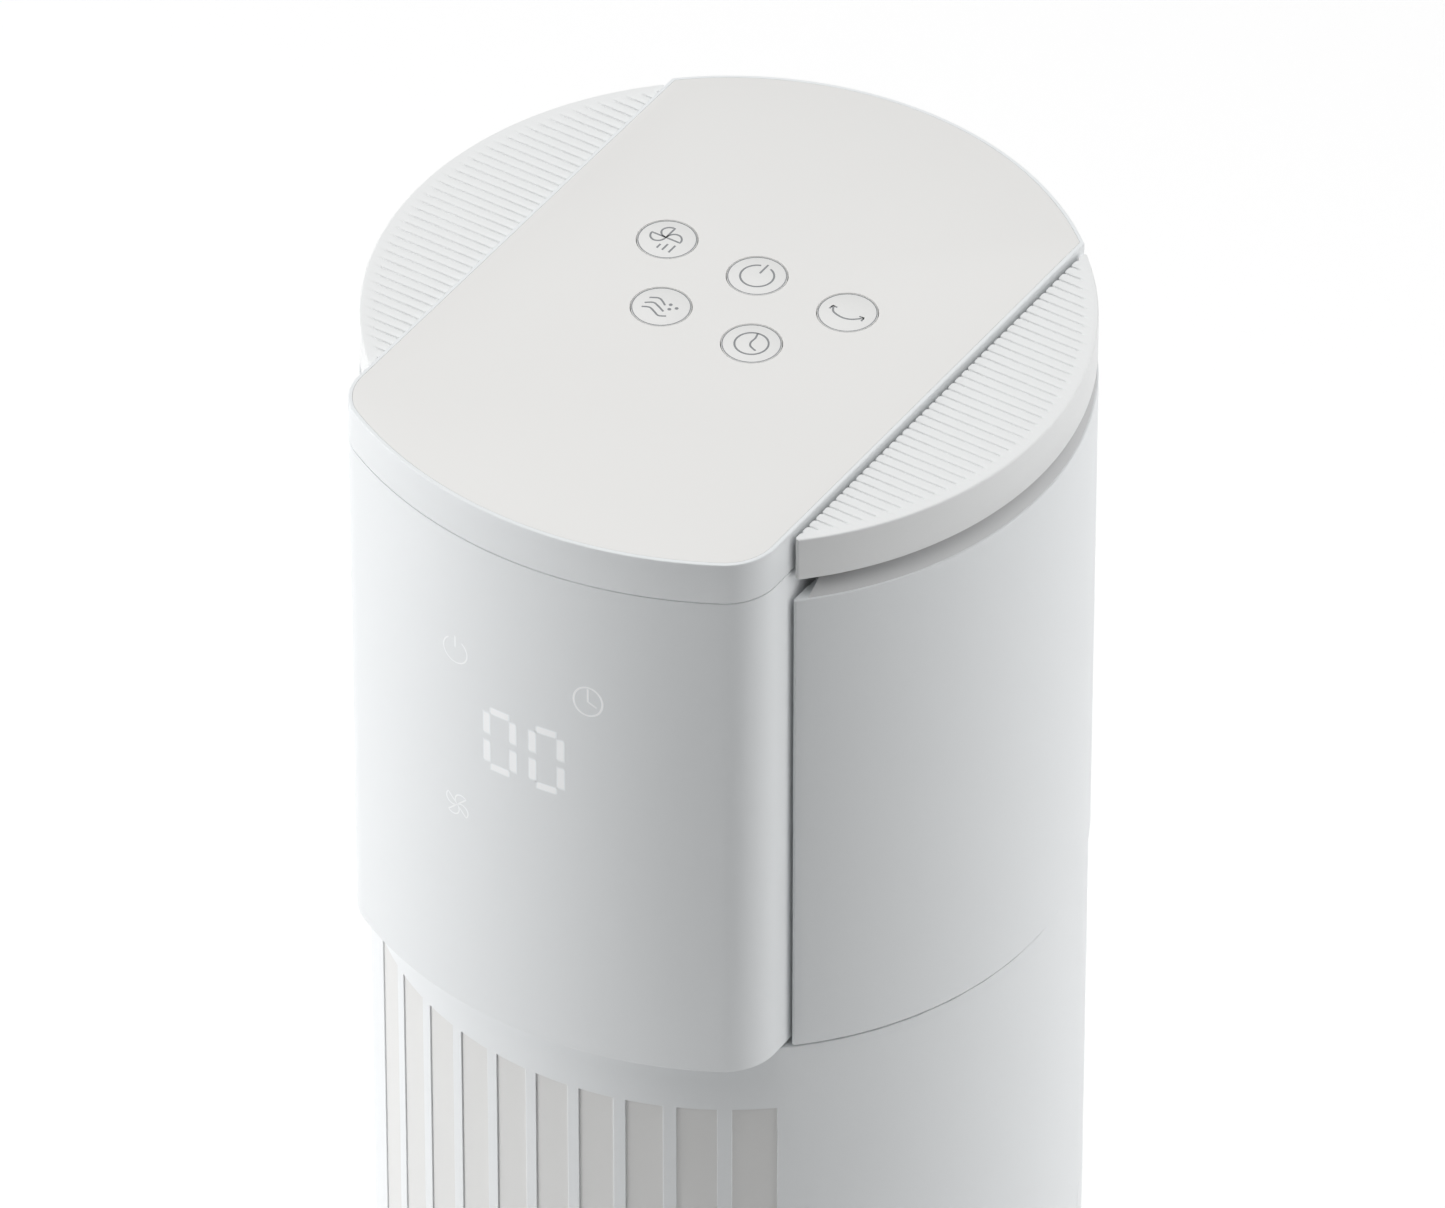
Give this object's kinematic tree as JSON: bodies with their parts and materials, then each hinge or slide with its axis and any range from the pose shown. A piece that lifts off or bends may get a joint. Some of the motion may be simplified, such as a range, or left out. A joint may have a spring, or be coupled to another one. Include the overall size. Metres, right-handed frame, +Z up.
{
  "type": "tower fan",
  "caption": "Round white tower fan with a raised centre strip of controls on top, a slotted front outlet with linked louvres and a geared swivel on a round base.",
  "frame": {"origin": "centre of the footprint, on the surface that the rubber feet stand on", "axes": "+Z up along the tower and the swivel axis, -Y out of the front outlet, +X to the right of a person who stands in front and looks at the outlet"},
  "size_m": [0.3, 0.3, 1],
  "materials": {
    "shell": "fine satin moulded white",
    "plate": "smooth warm white satin",
    "button": "smooth satin with a printed grey symbol",
    "ribbed": "satin with fine ribs",
    "louvre": "satin pale grey",
    "chassis": "moulded grey",
    "acetal": "natural acetal",
    "blower": "moulded black",
    "steel": "plated sheet steel",
    "rubber": "moulded rubber",
    "board": "green board lacquer",
    "filter": "woven mesh"
  },
  "bodies": {
    "base": {"base_cover": "shell", "base_weight_plate": "steel", "rubber_foot_1": "rubber", "rubber_foot_2": "rubber", "rubber_foot_3": "rubber", "rubber_foot_4": "rubber", "swivel_hub": "chassis", "swivel_slide_ring": "acetal", "swing_motor": "steel"},
    "tower": {"turntable": "chassis", "swing_gear_sector": "chassis", "casing_floor": "chassis", "lower_casing": "shell", "rear_inlet_grille": "shell", "dust_filter": "filter", "mains_inlet": "blower", "louvre_rail_lower": "chassis", "louvre_rail_upper": "chassis", "louvre_motor": "steel", "scroll_wall": "blower", "cutoff_wall": "blower", "blower_top_plate": "chassis", "blower_bottom_plate": "chassis", "top_bearing": "rubber", "fan_motor": "steel", "motor_mount": "chassis", "power_board": "board", "front_panel": "shell", "rear_head_panel": "shell", "centre_cap": "shell", "top_plate": "plate", "control_board": "board", "side_cap_right": "ribbed", "side_cap_left": "ribbed", "side_panel_right": "shell", "side_panel_left": "shell", "head_chassis": "chassis", "display_module": "board"},
    "swing_pinion": {"swing_pinion": "acetal"},
    "rotor": {"cross_flow_rotor": "blower", "rotor_stub": "steel", "motor_shaft": "steel"},
    "louvre_tie_bar": {"louvre_tie_bar": "chassis"},
    "louvre_crank": {"louvre_crank": "acetal"},
    "louvre_01": {"louvre_01": "louvre"},
    "louvre_02": {"louvre_02": "louvre"},
    "louvre_03": {"louvre_03": "louvre"},
    "louvre_04": {"louvre_04": "louvre"},
    "louvre_05": {"louvre_05": "louvre"},
    "louvre_06": {"louvre_06": "louvre"},
    "louvre_07": {"louvre_07": "louvre"},
    "louvre_08": {"louvre_08": "louvre"},
    "louvre_09": {"louvre_09": "louvre"},
    "louvre_10": {"louvre_10": "louvre"},
    "button_speed": {"button_speed": "button"},
    "button_power": {"button_power": "button"},
    "button_swing": {"button_swing": "button"},
    "button_mode": {"button_mode": "button"},
    "button_timer": {"button_timer": "button"}
  },
  "joints": [
    {"name": "tower_swing", "type": "hinge", "parent": "base", "child": "tower", "pos_m": [0, 0, 0.03], "axis": [0, 0, 1], "range_deg": [-40, 40]},
    {"name": "pinion_spin", "type": "hinge", "parent": "base", "child": "swing_pinion", "pos_m": [0, 0.084, 0.0235], "axis": [0, 0, 1], "range_deg": [-340, 340]},
    {"name": "rotor_spin", "type": "hinge", "parent": "tower", "child": "rotor", "pos_m": [0, 0.012, 0.485], "axis": [0, 0, 1], "continuous": true},
    {"name": "louvre_01_turn", "type": "hinge", "parent": "tower", "child": "louvre_01", "pos_m": [-0.06857, -0.07985, 0.483], "axis": [0, 0, 1], "range_deg": [0, 110]},
    {"name": "louvre_02_turn", "type": "hinge", "parent": "tower", "child": "louvre_02", "pos_m": [-0.05439, -0.09011, 0.483], "axis": [0, 0, 1], "range_deg": [0, 110]},
    {"name": "louvre_03_turn", "type": "hinge", "parent": "tower", "child": "louvre_03", "pos_m": [-0.04024, -0.09726, 0.483], "axis": [0, 0, 1], "range_deg": [0, 110]},
    {"name": "louvre_04_turn", "type": "hinge", "parent": "tower", "child": "louvre_04", "pos_m": [-0.02611, -0.10197, 0.483], "axis": [0, 0, 1], "range_deg": [0, 110]},
    {"name": "louvre_05_turn", "type": "hinge", "parent": "tower", "child": "louvre_05", "pos_m": [-0.012, -0.10457, 0.483], "axis": [0, 0, 1], "range_deg": [0, 110]},
    {"name": "louvre_06_turn", "type": "hinge", "parent": "tower", "child": "louvre_06", "pos_m": [0.0021, -0.10524, 0.483], "axis": [0, 0, 1], "range_deg": [0, 110]},
    {"name": "louvre_07_turn", "type": "hinge", "parent": "tower", "child": "louvre_07", "pos_m": [0.01618, -0.10401, 0.483], "axis": [0, 0, 1], "range_deg": [0, 110]},
    {"name": "louvre_08_turn", "type": "hinge", "parent": "tower", "child": "louvre_08", "pos_m": [0.03024, -0.10082, 0.483], "axis": [0, 0, 1], "range_deg": [0, 110]},
    {"name": "louvre_09_turn", "type": "hinge", "parent": "tower", "child": "louvre_09", "pos_m": [0.04428, -0.09549, 0.483], "axis": [0, 0, 1], "range_deg": [0, 110]},
    {"name": "louvre_10_turn", "type": "hinge", "parent": "tower", "child": "louvre_10", "pos_m": [0.0583, -0.08763, 0.483], "axis": [0, 0, 1], "range_deg": [0, 110]},
    {"name": "tie_bar_pivot", "type": "hinge", "parent": "louvre_05", "child": "louvre_tie_bar", "pos_m": [-0.0081, -0.10232, 0.793], "axis": [0, 0, 1], "range_deg": [-110, 0]},
    {"name": "crank_turn", "type": "hinge", "parent": "tower", "child": "louvre_crank", "pos_m": [-0.006, -0.079, 0.795], "axis": [0, 0, 1], "range_deg": [0, 110]},
    {"name": "button_speed_press", "type": "slide", "parent": "tower", "child": "button_speed", "axis": [0, 0, -1], "range_m": [0, 0.0008], "stiffness_N_per_m": 500, "springref_m": -0.0006},
    {"name": "button_power_press", "type": "slide", "parent": "tower", "child": "button_power", "axis": [0, 0, -1], "range_m": [0, 0.0008], "stiffness_N_per_m": 500, "springref_m": -0.0006},
    {"name": "button_swing_press", "type": "slide", "parent": "tower", "child": "button_swing", "axis": [0, 0, -1], "range_m": [0, 0.0008], "stiffness_N_per_m": 500, "springref_m": -0.0006},
    {"name": "button_mode_press", "type": "slide", "parent": "tower", "child": "button_mode", "axis": [0, 0, -1], "range_m": [0, 0.0008], "stiffness_N_per_m": 500, "springref_m": -0.0006},
    {"name": "button_timer_press", "type": "slide", "parent": "tower", "child": "button_timer", "axis": [0, 0, -1], "range_m": [0, 0.0008], "stiffness_N_per_m": 500, "springref_m": -0.0006}
  ],
  "couplings": [
    {"joint": "pinion_spin", "follows": "tower_swing", "ratio": -8.3333},
    {"joint": "louvre_01_turn", "follows": "louvre_05_turn", "ratio": 1},
    {"joint": "louvre_02_turn", "follows": "louvre_05_turn", "ratio": 1},
    {"joint": "louvre_03_turn", "follows": "louvre_05_turn", "ratio": 1},
    {"joint": "louvre_04_turn", "follows": "louvre_05_turn", "ratio": 1},
    {"joint": "louvre_06_turn", "follows": "louvre_05_turn", "ratio": 1},
    {"joint": "louvre_07_turn", "follows": "louvre_05_turn", "ratio": 1},
    {"joint": "louvre_08_turn", "follows": "louvre_05_turn", "ratio": 1},
    {"joint": "louvre_09_turn", "follows": "louvre_05_turn", "ratio": 1},
    {"joint": "louvre_10_turn", "follows": "louvre_05_turn", "ratio": 1},
    {"joint": "tie_bar_pivot", "follows": "louvre_05_turn", "ratio": -1},
    {"joint": "crank_turn", "follows": "louvre_05_turn", "ratio": 1}
  ]
}
